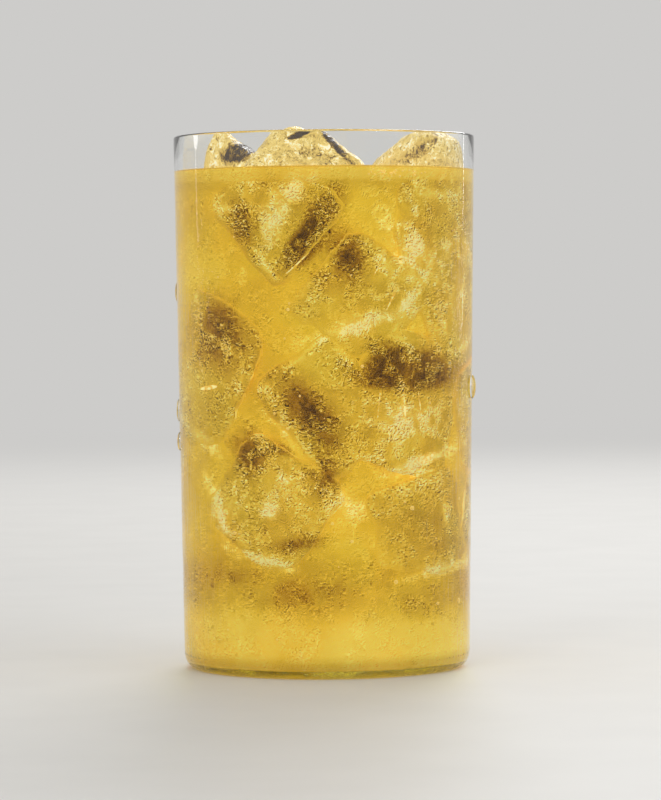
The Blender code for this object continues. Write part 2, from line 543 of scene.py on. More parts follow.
beads = join([add_bead(*size) for size in bead_sizes()], "beads_of_water")
report(beads)

# %% [markdown]
# ### The finish of the glass
# Clear glass is a Principled surface with full transmission. Light bends where two clear stuffs meet,
# by the ratio of their indices, so the glass has three finishes: outside and wet, against the drink,
# and dry above it. On the wet part a faint upright grain as bump stands for runs of water.

# %% Give the glass its finish
GLASS_COLOUR = srgb(252, 253, 253)
WATER_COLOUR = srgb(254, 254, 252)
GLASS_BENDS = 1.5
DRINK_BENDS = 1.333
BEADS_BEND = 1.30
RUN_WIDTH = 0.0011
RUN_SHORTENING = 0.06
RUN_PATCHES = 0.016
RUN_RELIEF = 0.0004


def glass_finish(name, bends, mirror):
    """Clear glass, from how much it bends light and how strongly it mirrors."""
    sheet = Sheet(name)
    stretch = {"Vector": sheet.place, "Scale": (1.0, 1.0, RUN_SHORTENING)}
    upright = sheet.node("ShaderNodeMapping", {"vector_type": "POINT"}, stretch)
    runs = sheet.grain(RUN_WIDTH, detail=3.0, vector=upright)
    patches = sheet.grain(RUN_PATCHES).ramp(0.35, 0.60)
    wet = sheet.height().ramp(DRINK_LEVEL - 0.004, DRINK_LEVEL - 0.020)
    relief = sheet.bump(runs * patches * wet, 0.7, RUN_RELIEF)
    tint = (mirror, mirror, mirror, 1.0)
    return sheet.finish(sheet.clear(GLASS_COLOUR, bends, Specular_Tint=tint, Normal=relief))


def mark_wetted(piece):
    """Gives the inner faces that the drink covers the second finish, and the dry top the third."""
    for face in piece.data.polygons:
        covered = FLOOR - WELD < face.center.z < DRINK_LEVEL
        inside = face.center.xy.length < inner_radius(face.center.z) + WELD
        if covered and inside:
            face.material_index = 1
        if face.center.z > DRINK_LEVEL + MENISCUS_RISE:
            face.material_index = 2


def water_finish():
    sheet = Sheet("clear_water")
    return sheet.finish(sheet.clear(WATER_COLOUR, BEADS_BEND))


for finish_row in (
    ("wet_clear_glass", GLASS_BENDS, 0.6),
    ("glass_against_the_drink", GLASS_BENDS / DRINK_BENDS, 1.0),
    ("dry_clear_glass", GLASS_BENDS, 1.0),
):
    glass_wall.data.materials.append(glass_finish(*finish_row))
mark_wetted(glass_wall)
beads.data.materials.append(water_finish())
for wet_piece in (glass_wall, beads):
    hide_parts("glass")
    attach(wet_piece, "root")
print("finishes of the glass:", ", ".join(finish.name for finish in glass_wall.data.materials))

# %% [markdown]
# ## The ice that stands out
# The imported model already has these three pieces, as a coarse form. A copy is welded and smoothed by
# subdivision, and two Displace modifiers add the pits and ripples of melting ice. Another way is to
# sculpt them, but a copy keeps the form that the solid has.

# %% Model the ice that stands out
ICE_LEVELS = 3
QUAD_ANGLE = 60.0
RIPPLE_DEPTH = 0.0009
PIT_DEPTH = 0.0004


def add_clouds(name, size, depth=2):
    texture = bpy.data.textures.new(name, "CLOUDS")
    texture.noise_scale = size
    texture.noise_depth = depth
    return texture


COARSE_PITS = add_clouds("coarse_pits", 0.0060)
FINE_PITS = add_clouds("fine_pits", 0.0013, 3)


def roughen(piece, texture, strength):
    pits = piece.modifiers.new(texture.name, "DISPLACE")
    pits.texture = texture
    pits.texture_coords = "GLOBAL"
    pits.strength = strength
    pits.mid_level = 0.5


def smooth_by_subdivision(piece, levels):
    finer = piece.modifiers.new("finer", "SUBSURF")
    finer.levels = levels
    finer.render_levels = levels


def apply_all(piece):
    bpy.context.view_layer.objects.active = piece
    for modifier in list(piece.modifiers):
        bpy.ops.object.modifier_apply(modifier=modifier.name)


def copy_of_node(node, name):
    """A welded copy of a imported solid, as quads where its triangles allow it."""
    piece = bpy.data.objects.new(name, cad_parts[node].data.copy())
    bpy.context.scene.collection.objects.link(piece)
    piece.data.materials.clear()
    select_only(piece)
    edit_all()
    bpy.ops.mesh.remove_doubles(threshold=WELD)
    bpy.ops.mesh.tris_convert_to_quads(face_threshold=math.radians(QUAD_ANGLE))
    bpy.ops.object.mode_set(mode="OBJECT")
    return piece


def standing_ice(node):
    piece = copy_of_node(node, node.replace("ice_", "") + "_standing_ice")
    smooth_by_subdivision(piece, ICE_LEVELS)
    roughen(piece, COARSE_PITS, RIPPLE_DEPTH)
    roughen(piece, FINE_PITS, PIT_DEPTH)
    apply_all(piece)
    settle(piece, SOFT_EDGE)
    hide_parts(node)
    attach(piece, "root")
    report(piece)
    return piece


standing = {node: standing_ice(node) for node in ("ice_left", "ice_middle", "ice_right")}

# %% [markdown]
# ## The drink
# The drink is turned like the glass, and it reaches just into the wall, because a gap of air between
# the two would shine like a mirror. Its surface climbs the wall a little all round. Slightly smaller
# copies of the ice cut their hollows in it, so that the skin of each piece stays wet.

# %% Model the drink
DRINK_SIDES = 240
REACH_INTO_WALL = 0.0004
MENISCUS_STEPS = 8
HOLLOW_INSET = 0.0004


def drink_outline():
    outline = inside_bottom(-REACH_INTO_WALL)
    for step in range(MENISCUS_STEPS + 1):
        share = step / MENISCUS_STEPS
        height = DRINK_LEVEL + MENISCUS_RISE * (1.0 - share) ** 2
        edge = inner_radius(height) + REACH_INTO_WALL
        outline.append((edge - (MENISCUS_RUN + REACH_INTO_WALL) * share, height))
    outline.append((0.0, DRINK_LEVEL))
    return outline


def cut_round_ice(piece, inset):
    """Cuts a hollow for each standing piece of ice, this much smaller than the ice itself."""
    for node in standing:
        cutter = copy_of_node(node, node + "_cutter")
        shrink = cutter.modifiers.new("shrink", "DISPLACE")
        shrink.mid_level = 0.0
        shrink.strength = -inset
        apply_all(cutter)
        cut = piece.modifiers.new(node, "BOOLEAN")
        cut.operation = "DIFFERENCE"
        cut.object = cutter
        apply_all(piece)
        bpy.data.objects.remove(cutter)


drink = turned("agave_lemonade", drink_outline(), DRINK_SIDES)
cut_round_ice(drink, HOLLOW_INSET)
settle(drink)
report(drink)

# %% [markdown]
# ### The finish of the drink
# The outer millimetres of the drink look clear and golden. Paint on the surface would be flat there,
# so the colour is in the volume: it absorbs the blue light on the way, and more where the way is
# longer, as at the sides. Against the glass the drink bends nothing, since the glass has done it.

# %% Give the drink its finish
DRINK_COLOUR = srgb(255, 250, 232)
TINT = (0.993, 0.965, 0.0, 1.0)
TINT_DENSITY = 80.0


def drink_finish(name, bends):
    sheet = Sheet(name)
    sockets = {"Color": TINT, "Density": TINT_DENSITY}
    tint = sheet.node("ShaderNodeVolumeAbsorption", None, sockets)
    return sheet.finish(sheet.clear(DRINK_COLOUR, bends), tint)


def mark_sides(piece):
    """Gives the faces inside the wall and the floor of the glass the second finish."""
    for face in piece.data.polygons:
        beside_the_glass = face.center.xy.length > inner_radius(face.center.z) + WELD
        if face.center.z < FLOOR or (beside_the_glass and face.center.z < DRINK_LEVEL):
            face.material_index = 1


drink.data.materials.append(drink_finish("golden_lemonade", DRINK_BENDS))
drink.data.materials.append(drink_finish("lemonade_against_the_glass", 1.0))
mark_sides(drink)
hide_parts("lemonade")
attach(drink, "root")
print("the tint lets through", TINT[:3])

# %% [markdown]
# ## The cloudy middle
# Agave lemonade is cloudy: light goes in, bounces on pulp and comes out golden, so the far side of the
# glass can't be seen. Real scattering is slow to render, so a soft golden body stands inside the drink
# instead. It stays a few millimetres behind the wall, where the sunk ice can show before it, comes
# nearer to the wall at the bottom and the top, and ends in a wide cap just under the surface.

# %% Model the cloudy middle
CLOUD_SIDES = 128
CLOUD_DEPTH = 0.0036
CLOUD_LOW = 0.0100
CLOUD_HIGH = 0.1220
CLOUD_ROWS = 74
CLOUD_WIDENING = 0.0024
CLOUD_WIDENS_BELOW = (0.030, 0.012)
CLOUD_WIDENS_ABOVE = (0.1195, 0.1225)
CLOUD_ABOVE_FLOOR = 0.0006
CLOUD_UNDER_LEVEL = 0.0001
CLOUD_FOOT = (0.0312, 0.0032)
CLOUD_CAP = ((0.0364, -0.0010), (0.0366, -0.0004), (0.0366, 0.0003), (0.0362, 0.0002), (0.0356, 0.0))


def smooth_step(value, low, high):
    share = min(1.0, max(0.0, (value - low) / (high - low)))
    return share * share * (3.0 - 2.0 * share)


def cloud_outline():
    """From the bottom's middle over the wide foot, up the even shaft, and round the wide cap."""
    low = FLOOR + CLOUD_ABOVE_FLOOR
    top = DRINK_LEVEL - CLOUD_UNDER_LEVEL
    across, bend = CLOUD_FOOT
    outline = [(0.0, low)]
    outline += arc((across, low + bend), (bend, bend), -90.0, 0.0, 8)
    for row in range(CLOUD_ROWS + 1):
        height = CLOUD_LOW + row * (CLOUD_HIGH - CLOUD_LOW) / CLOUD_ROWS
        widening = smooth_step(height, *CLOUD_WIDENS_BELOW) + smooth_step(height, *CLOUD_WIDENS_ABOVE)
        outline.append((inner_radius(height) - CLOUD_DEPTH + widening * CLOUD_WIDENING, height))
    outline += [(radius, top + rise) for radius, rise in CLOUD_CAP]
    outline.append((0.0, top))
    return outline


cloud = turned("cloudy_middle", cloud_outline(), CLOUD_SIDES)
cut_round_ice(cloud, HOLLOW_INSET)
settle(cloud)
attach(cloud, "root")
report(cloud)

# %% [markdown]
# ## Dark and pale spots
# Where the real ice is clear one sees deep into it, and it looks dark; in this pale studio that dark
# is painted shade. Where it is frosted or cracked it looks pale, and thin pale spots are painted
# highlights, where light bent by the ice gathers in crescents and lines. Such places can't be left to
# chance in front, so each is an oval spot with a place, a size and a strength. They could be painted
# in a picture, but a number kept for each point of the mesh needs no file, and the same spot runs on
# from one piece to the next.

# %% List the spots
# Right of the middle, height, half width and half height in millimetres, tilt in degrees, and the
# strength: dark below zero, pale above. They all face the front.
# Thin pale spots are painted highlights, and the dark ones are painted shade.
FRONT_SPOTS = (
    (-2.6, 110.6, 11, 4.6, 52, -1),
    (-5.4, 106, 5.5, 3.6, 52, -1.4),
    (-18.6, 109.5, 8, 2.6, -70, -1),
    (-11.5, 112, 12, 4.4, 58, 0.85),
    (25.6, 110, 9, 9, 0, 0.5),
    (22, 106, 14, 16, 0, 0.5),
    (26, 112.7, 4.5, 4.5, 0, -0.65),
    (6, 103.2, 6, 7.5, 20, -1),
    (0, 98.7, 5, 4, 0, -0.5),
    (9, 86.8, 13, 2, 16, 0.95),
    (19.6, 92, 6, 1.4, 50, 1),
    (-25.3, 85, 6, 9, 0, -0.85),
    (-29.5, 80.4, 4, 6, 0, -0.5),
    (-17.5, 84, 4, 6, 0, -0.3),
    (-27, 65.7, 6, 6, 0, -0.35),
    (-28.5, 58.5, 6, 1.8, -40, 0.9),
    (17.9, 75.5, 10.5, 5.4, -5, -1.6),
    (14.5, 80.4, 5, 4, 0, -0.7),
    (19.4, 64, 9, 6, 0, 0.6),
    (23.1, 53, 9, 1.3, 20, 1.1),
    (-3.8, 65.6, 10, 4.6, -54, -0.9),
    (0.3, 58.6, 4.5, 4, 0, -0.65),
    (-8, 57.8, 9, 1.2, -50, 0.85),
    (-18, 54.3, 4.2, 7, 10, -0.85),
    (-0.6, 49.2, 5.5, 8, 35, -0.8),
    (-10, 56.4, 7, 3, 0, -0.7),
    (-11, 48.6, 5, 4, 0, 0.4),
    (-13.3, 41.2, 2.2, 2.2, 0, 1),
    (4.8, 42.5, 4, 4, 0, 0.85),
    (-6.2, 33.2, 8, 2.2, 8, -0.65),
    (-25.6, 40.5, 9.5, 1.3, -76, 0.95),
    (-13.6, 28.5, 9, 1.6, -16, 1),
    (27.3, 25.8, 8.5, 1.6, 10, 1),
    (23, 38.8, 9, 7, 0, -0.3),
    (-21.8, 24.1, 12, 4, 0, -0.35),
    (-2.9, 20.6, 14, 5.5, 0, -0.38),
    (23.1, 14.3, 12, 6, 0, -0.35),
    (0, 23, 34, 5, 0, -0.25),
    # These four lie on the standing ice: painted shade where its clear parts would show dark.
    (-5.8, 132.3, 3, 0.55, 16, -1.5),
    (2.6, 130.2, 5.5, 0.7, -42, -1.2),
    (24, 129.2, 6, 1.3, 28, -0.65),
    (-2.5, 127.8, 10, 2.6, 0, -0.3),
)
# The left standing piece lies behind the middle, and only a spot turned this far reaches its front.
# It is painted shade, for a dark hole where that piece is clear.
LEFT_SPOT = (-60, -25.6, 129.2, 2.4, 1.4, 8, -1.4)
FURTHER_SPOTS = 40
SPOT_SEED = 4


def further_spots():
    """More dark and pale spots of the same kind, on the sides and the back, by turn."""
    draw = random.Random(SPOT_SEED)
    spots = []
    for index in range(FURTHER_SPOTS):
        strength = (-draw.uniform(0.45, 0.85), draw.uniform(0.4, 0.75))[index % 2]
        place = (draw.uniform(100.0, 260.0), 0.0, draw.uniform(25.0, 118.0))
        size = (draw.uniform(6.0, 12.0), draw.uniform(2.5, 5.5))
        spots.append((*place, *size, draw.uniform(-60.0, 60.0), strength))
    return spots


ALL_SPOTS = [(0.0, *spot) for spot in FRONT_SPOTS] + [LEFT_SPOT] + further_spots()
print(len(ALL_SPOTS), "spots,", len(FRONT_SPOTS), "of them in front")

# %% [markdown]
# ### Keep the spots in the meshes
# A spot works like a stamp pressed from outside: it colours every point on its side of the glass that
# lies inside its oval, and fades towards the oval's edge. NumPy works on all points at once, which is
# far quicker than a loop.

# %% Stamp the spots
SPOT_FALL = 0.6


def spot_shade(piece):
    """Below 0 where a spot is dark, 0 for plain gold, and above 0 where a spot is pale."""
    places = numpy.empty(3 * len(piece.data.vertices))
    piece.data.vertices.foreach_get("co", places)
    x, y, z = places.reshape(-1, 3).T / MILLIMETRE
    dark = numpy.zeros(len(x))
    pale = numpy.zeros(len(x))
    for turn, across, height, half_wide, half_tall, tilt, strength in ALL_SPOTS:
        angle = math.radians(turn)
        lean = math.radians(tilt)
        faces_it = x * math.sin(angle) - y * math.cos(angle) > 0.0
        right = x * math.cos(angle) + y * math.sin(angle) - across
        up = z - height
        along = (right * math.cos(lean) + up * math.sin(lean)) / half_wide
        off = numpy.hypot(along, (up * math.cos(lean) - right * math.sin(lean)) / half_tall)
        share = abs(strength) * numpy.clip(1.0 - SPOT_FALL * off, 0.0, 1.0) * faces_it
        if strength < 0.0:
            dark = numpy.maximum(dark, share)
        else:
            pale = numpy.maximum(pale, share)
    return pale - dark


def keep_in_mesh(piece, name, values):
    attribute = piece.data.attributes.new(name, "FLOAT", "POINT")
    attribute.data.foreach_set("value", values)


def add_spots(piece):
    keep_in_mesh(piece, "spots", spot_shade(piece))


add_spots(cloud)
shades = spot_shade(cloud)
print(f"the cloudy middle's spots run from {shades.min():.2f} to {shades.max():.2f}")

# %% [markdown]
# ## The look of what lies in the drink
# Seen through the golden film, cloud and ice are one play of tones from brown over gold to cream. So
# one recipe works out a tone for both, and a palette turns it into colour. The tone is noise of many
# sizes, from wide drifts to fine strokes. lit_grain paints a lit and a dark side on each crystal, as
# light from one side gives a real one: painted light and shade. A mesh as fine as that would be far
# too heavy.

# %% Sizes and tones of the patterns
DRIFTS = 0.024
BLOTCHES = 0.0070
PATCHES = 0.0040
SWIRLS = 0.0026
CRYSTALS = 0.0013
STROKES = 0.0006
GREEN_DRIFTS = 0.018
GOLD_TONE = 0.52
TONES = (
    (0.0, srgb(64, 38, 0)),
    (0.25, srgb(150, 104, 4)),
    (GOLD_TONE, srgb(213, 175, 55)),
    (0.72, srgb(238, 208, 100)),
    (1.0, srgb(255, 244, 200)),
)
MILKY = srgb(222, 196, 124)
GREEN_FILTER = (0.95, 0.99, 1.0, 1.0)
# The share of its colour that a finish gives off itself, a painted glow.
PAINTED_GLOW = 0.53


def drink_colour(sheet, tone, pale):
    """Gold from the tone, milky where it is pale, and a little greener in wide drifts."""
    colour = sheet.mix(sheet.palette(tone, TONES), MILKY, pale * 0.5)
    green = sheet.grain(GREEN_DRIFTS, detail=1.0).ramp(0.44, 0.60)
    return sheet.mix(colour, GREEN_FILTER, green, blend="MULTIPLY")


def painted_glow_finish(sheet, colour, roughness, glow=PAINTED_GLOW, **sockets):
    """A finish that also gives off some of its own colour: a painted glow in place of the light that a
    cloudy drink scatters.
    """
    sockets |= {"Roughness": roughness, "Emission_Strength": glow}
    return sheet.finish(sheet.surface(Base_Color=colour, Emission_Color=colour, **sockets))


print("plain gold has the tone", GOLD_TONE)

# %% [markdown]
# ### The recipe for a tone
# Haze and dark follow the dark spots, pale follows the pale ones, and busy says how much frost there
# is. On sunk ice the tone is used only where the ice lies near the wall and faces it. Where it turns
# away or lies deep the drink's plain gold closes over it, and a real piece has no outline there. Sides
# that turn away are painted a little lighter, as painted light in place of the shade that falls there.


# %% Work out the tone and the relief
def icy_look(sheet, frostiness):
    """The tone, how pale it is, how busy with frost, and the height of the crystals."""
    edge = sheet.kept("edge")
    spots = sheet.kept("spots")
    drift = sheet.grain(DRIFTS)
    blotches = sheet.grain(BLOTCHES, bend=0.6)
    patches = sheet.grain(PATCHES, bend=0.8)
    crystals, relief = sheet.lit_grain(CRYSTALS, detail=2.5, roughness=0.55, bend=2.4)
    strokes = sheet.grain(STROKES, roughness=0.6, bend=2.0)
    swirls = sheet.grain(SWIRLS, detail=1.0, bend=3.0)
    # Haze and dark are painted shade in the dark spots.
    haze = (spots * -1.3 + (blotches - 0.5) * 1.6).ramp(0.05, 0.95)
    dark = (spots * -1.2 + (patches - 0.5) * 1.4 + (crystals - 0.5) * 1.6).ramp(0.35, 0.95)
    pale = (spots + (patches - 0.5) * 1.2).ramp(0.10, 0.95)
    busy = (frostiness + edge * 0.25 + haze * 0.50 + pale * 0.50) * patches.ramp(0.38, 0.60, 0.15, 1.2)
    # Sparks are pale crack lines, partly painted glints.
    sparks = crystals.veins(18.0) * 0.5 + strokes.ramp(0.64, 0.71) * 0.9 + swirls.veins(14.0) * 0.5
    tone = GOLD_TONE - 0.02 + (drift - 0.5) * 0.33 + (blotches - 0.5) * frostiness
    # The relief of lit_grain paints a lit and a shaded side on each crystal.
    tone = tone + (relief * 2.6 + (crystals - 0.5) * 0.5) * busy * (1.0 - dark * 0.4)
    tone = tone - haze * 0.22 - dark * 0.26 + pale * 0.20 + sparks * busy * (0.42 + dark * 0.4)
    # A painted highlight line along the edges of each cube.
    tone = tone + (edge ** 8.0) * blotches.ramp(0.40, 0.55) * 0.25
    # Cream painted highlights in the pale spots.
    painted_highlights = (spots + (patches - 0.5) * 0.8 + (crystals - 0.5) * 1.8).ramp(0.50, 0.80)
    return tone + painted_highlights * 0.20, pale, busy, crystals + swirls


def sunk_look(sheet, frostiness):
    """The same for ice in the drink: the tone, how pale it is, and the normal from its relief."""
    tone, pale, _, ripples = icy_look(sheet, frostiness)
    flat = sheet.vector("MULTIPLY", sheet.place, (1.0, 1.0, 0.0))
    outward = sheet.vector("NORMALIZE", flat)
    normal = sheet.node("ShaderNodeNewGeometry", out="Normal")
    facing = sheet.vector("DOT_PRODUCT", normal, outward, out="Value")
    radius = sheet.vector("LENGTH", flat, out="Value")
    depth = inner_radius(0.0) + sheet.height() * LEAN - radius
    near = depth.ramp(CLOUD_DEPTH, CLOUD_DEPTH - 0.0010) * facing.ramp(-0.1, 0.45)
    blotches = sheet.grain(BLOTCHES, bend=0.6).ramp(0.46, 0.60)
    # Painted light: sides that turn away from the wall are painted lighter, in place of the shade on
    # them.
    side = facing.ramp(0.75, 0.20) * (blotches * 0.26 + 0.06)
    strokes = sheet.grain(STROKES, roughness=0.6, bend=2.0)
    tone = GOLD_TONE + side + (tone - 0.02 - GOLD_TONE) * near
    return tone, pale * near, sheet.bump((ripples + strokes * 0.4) * near, 0.9, 0.0008)


print("patterns from", STROKES / MILLIMETRE, "to", DRIFTS / MILLIMETRE, "mm")

# %% [markdown]
# ### The finish of the cloudy middle
# The cloud takes the recipe with little frost. Three bands by height follow the real drink: it is
# painted brighter near the bottom, where the foot gathers light, darker in a belt above that, and
# painted brighter in a narrow band under the surface. The two bright bands are painted light.

# %% Give the cloudy middle its finish
CLOUD_FROST = 0.17
PAINTED_FOOT_LIGHT = (0.020, 0.010)
BELT_LOW = (0.012, 0.020)
BELT_HIGH = (0.034, 0.026)
PAINTED_SURFACE_LIGHT = (DRINK_LEVEL - 0.0032, DRINK_LEVEL - 0.0022)


def cloud_finish():
    sheet = Sheet("cloudy_gold")
    tone, pale, busy, ripples = icy_look(sheet, CLOUD_FROST)
    height = sheet.height()
    belt = height.ramp(*BELT_LOW) * height.ramp(*BELT_HIGH)
    # Painted light at the foot and under the surface, with a darker belt between.
    tone = tone + height.ramp(*PAINTED_FOOT_LIGHT) * 0.09 - belt * 0.08 + height.ramp(*PAINTED_SURFACE_LIGHT) * 0.06
    relief = sheet.bump(ripples * busy, 0.9, 0.0007)
    gold = drink_colour(sheet, tone, pale)
    return painted_glow_finish(sheet, gold, 0.6, Specular_IOR_Level=0.0, Normal=relief)


cloud.data.materials.append(cloud_finish())
print("the cloudy middle shines at", PAINTED_GLOW, "of its colour")

# %% [markdown]
# ## Sunk ice
# Most of the ice lies under the surface. Each piece starts as a cube whose edges are bevelled, and
# subdivision and two Displace modifiers melt it. A piece that would meet the glass is drawn softly in
# from the wall. How near each point is to an edge of its cube is kept as an attribute, because cracks
# and frost show there, and a painted highlight line runs along the edges.

# %% List the sunk ice
# Name, centre and sides in millimetres, turn in degrees, and how far the first is squeezed sideways.
SHOWN_ICE = (
    ("front_top", (-10.6, -24, 115.6), (31, 24, 31), (6, 45, 4), 0.80),
    ("right_top", (24, -19, 111), (28, 24, 30), (0, 22, -38)),
    ("front_high", (7.5, -22, 94.5), (27, 26, 28), (14, 38, 12)),
    ("front_left", (-24.5, -14.5, 75), (25, 26, 37), (26, -30, 40)),
    ("front_right", (15.6, -21.5, 68), (30, 26, 34), (-8, 12, -24)),
    ("front_middle", (0.5, -24.5, 66.5), (24, 20, 31), (0, -38, 2)),
    ("front_low_left", (-11.5, -22.5, 43.5), (28, 27, 28), (10, 34, -8)),
    ("front_low_right", (18.6, -16, 38), (28, 26, 26), (12, -10, 20)),
)
BACK_RINGS = {
    35: (108, 170, 232),
    64: (98, 152, 208, 258),
    88: (72, 128, 182, 234),
}
BACK_RADIUS = 28.0
BACK_SEED = 8


def back_ice():
    """More pieces of the same kind, in rings round the sides and the back."""
    draw = random.Random(BACK_SEED)
    pieces = []
    for height, turns in BACK_RINGS.items():
        for turn in turns:
            angle = math.radians(turn + draw.uniform(-5.0, 5.0))
            out = Vector((math.sin(angle), -math.cos(angle), 0.0))
            centre = out * BACK_RADIUS + Vector((0.0, 0.0, height + draw.uniform(-3.0, 3.0)))
            sides = [draw.uniform(24.0, 30.0) for _ in range(3)]
            tilts = [draw.uniform(-40.0, 40.0) for _ in range(3)]
            pieces.append((f"back_{len(pieces) + 1}", centre, sides, tilts))
    return pieces


print(len(SHOWN_ICE), "pieces in front, and", len(back_ice()), "more behind")

# %% [markdown]
# ### Model the sunk ice
# The order matters. The edges are found while the piece is still square to its own axes, then it is
# turned and settled, and only then is it drawn in from the wall and cut off under the surface.

# %% Shape each piece
ICE_PITS = add_clouds("ice_pits", 0.0090)
BEVEL_SHARE = 0.26
MELTED_DEPTH = 0.0034
SUNK_PIT_DEPTH = 0.0003
PRESSED_DEPTH = 0.0040
ICE_TO_WALL = 0.0012
SUNK_BELOW = 0.0012


def press_inside(piece):
    """Draws the points near the wall softly in, so that the ice stays inside the drink."""
    for point in piece.data.vertices:
        radius = point.co.xy.length
        free = inner_radius(point.co.z) - ICE_TO_WALL - PRESSED_DEPTH
        if radius > free:
            kept = PRESSED_DEPTH * (1.0 - math.exp((free - radius) / PRESSED_DEPTH))
            point.co.x *= (free + kept) / radius
            point.co.y *= (free + kept) / radius


def cut_level(piece):
    """Cuts off what would stand out of the cloudy middle, and closes the cut."""
    edit_all()
    level = (0.0, 0.0, DRINK_LEVEL - SUNK_BELOW)
    bpy.ops.mesh.bisect(plane_co=level, plane_no=(0.0, 0.0, 1.0), clear_outer=True, use_fill=True)
    bpy.ops.object.mode_set(mode="OBJECT")


def keep_edges(piece, sides):
    halves = [side * MILLIMETRE / 2.0 for side in sides]
    edges = []
    for point in piece.data.vertices:
        nearest = sorted(abs(point.co[axis]) / halves[axis] for axis in range(3))
        edges.append(smooth_step(nearest[1], 0.50, 0.95))
    keep_in_mesh(piece, "edge", edges)


def sunk_piece(name, centre, sides, turn, squeeze=1.0):
    place = Vector(centre) * MILLIMETRE
    spin = Euler([math.radians(angle) for angle in turn])
    bpy.ops.object.select_all(action="DESELECT")
    bpy.ops.mesh.primitive_cube_add(size=MILLIMETRE, location=place, rotation=spin, scale=sides)
    piece = bpy.context.object
    piece.name = name + "_sunk_ice"
    bpy.ops.object.transform_apply(location=False, rotation=False, scale=True)
    edit_all()
    bpy.ops.mesh.bevel(offset=BEVEL_SHARE * min(sides) * MILLIMETRE, segments=3, profile=0.6)
    bpy.ops.mesh.select_all(action="SELECT")
    bpy.ops.mesh.subdivide(number_cuts=2)
    bpy.ops.object.mode_set(mode="OBJECT")
    smooth_by_subdivision(piece, 2)
    roughen(piece, ICE_PITS, MELTED_DEPTH)
    roughen(piece, FINE_PITS, SUNK_PIT_DEPTH)
    apply_all(piece)
    keep_edges(piece, sides)
    select_only(piece)
    bpy.ops.object.transform_apply(location=False, rotation=True, scale=False)
    piece.scale.x = squeeze
    settle(piece, SOFT_EDGE)
    press_inside(piece)
    cut_level(piece)
    add_spots(piece)
    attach(piece, "root")
    report(piece)
    return piece


sunk = [sunk_piece(*row) for row in (*SHOWN_ICE, *back_ice())]

# %% [markdown]
# ### The finish of the sunk ice
# In the drink ice has almost no edge of its own, because water and ice bend light nearly alike. What
# shows are cracks and frost, so the pieces take the same recipe as the cloud, with more frost in it.

# %% Give the sunk ice its finish
ICE_FROST = 0.38


def sunk_finish():
    sheet = Sheet("sunk_ice")
    tone, pale, relief = sunk_look(sheet, ICE_FROST)
    colour = drink_colour(sheet, tone, pale)
    return painted_glow_finish(sheet, colour, 0.6, Specular_IOR_Level=0.1, Normal=relief)


sunk_ice_finish = sunk_finish()
for sunk_ice in sunk:
    sunk_ice.data.materials.append(sunk_ice_finish)
print(len(sunk), "pieces of ice lie under the surface")

# %% [markdown]
# ## Cracks
# Air that is trapped in cracks shines as short pale streaks. Each is a small sphere drawn out into a
# blade, tilted and turned round the glass to lie flat behind the wall. A line painted on the ice would
# do from the front, but not at the side, where a blade is seen edge on.

# %% Model the cracks
# Right of the middle and height, length and width in millimetres, and tilt from upright in degrees.
SHOWN_CRACKS = (
    (-28, 71.2, 7, 1.1, 83),
    (12.8, 66.9, 6.4, 0.30, 6),
    (19, 66.4, 8, 0.34, -5),
    (22.7, 66.6, 7, 0.30, -10),
    (24.6, 53.6, 5.6, 0.9, 62),
    (15.9, 92.6, 5.8, 0.30, 30),
    (-6.4, 101.6, 8, 0.36, 48),
)
FURTHER_CRACKS = 12
CRACK_THICKNESS = 0.3
CRACKS_BEHIND_WALL = 0.0011
AIR_SEED = 12


def bent_sphere(radius, turn, height, scale, tilt):
    """A stretched sphere at this radius and height, tilted where it lies and turned round the glass."""
    angle = math.radians(turn)
    place = Vector((radius * math.sin(angle), -radius * math.cos(angle), height * MILLIMETRE))
    lie = Matrix.Rotation(angle, 3, "Z") @ Matrix.Rotation(math.radians(tilt), 3, "Y")
    bpy.ops.object.select_all(action="DESELECT")
    bpy.ops.mesh.primitive_ico_sphere_add(
        subdivisions=2, radius=MILLIMETRE / 2.0, location=place, rotation=lie.to_euler(), scale=scale
    )
    return bpy.context.object


def turn_of(across, radius):
    """The turn round the glass of what shows this far to the right from the front, in degrees."""
    return math.degrees(math.asin(across * MILLIMETRE / radius))


def make_cracks(draw):
    radius = inner_radius(0.07) - CRACKS_BEHIND_WALL
    cracks = [(turn_of(crack[0], radius), *crack[1:]) for crack in SHOWN_CRACKS]
    for _ in range(FURTHER_CRACKS):
        long = draw.uniform(1.5, 4.0)
        place = (draw.uniform(0.0, 360.0), draw.uniform(28.0, 116.0))
        cracks.append((*place, long, draw.uniform(0.22, 0.42), draw.uniform(-85.0, 85.0)))
    pieces = []
    for turn, height, long, wide, tilt in cracks:
        pieces.append(bent_sphere(radius, turn, height, (wide, CRACK_THICKNESS, long), tilt))
    return join(pieces, "trapped_cracks")


air = random.Random(AIR_SEED)
cracks = make_cracks(air)
report(cracks)

# %% [markdown]
# ## Bubbles
# Small bubbles rest against the inside of the wall, and a few gather under the surface on the right.
# Modelled spheres catch the light from every side, which dots in a pattern would not.

# %% Model the bubbles
# Right of the middle, height and size in millimetres.
SHOWN_BUBBLES = ((32.7, 17.5, 1.1), (17, 23.6, 0.9), (-22.4, 35.6, 0.8), (27.3, 17.5, 0.7), (21, 41.5, 1))
BUBBLE_RADIUS = 0.0355
FURTHER_BUBBLES = 90
FOAM_BUBBLES = 26


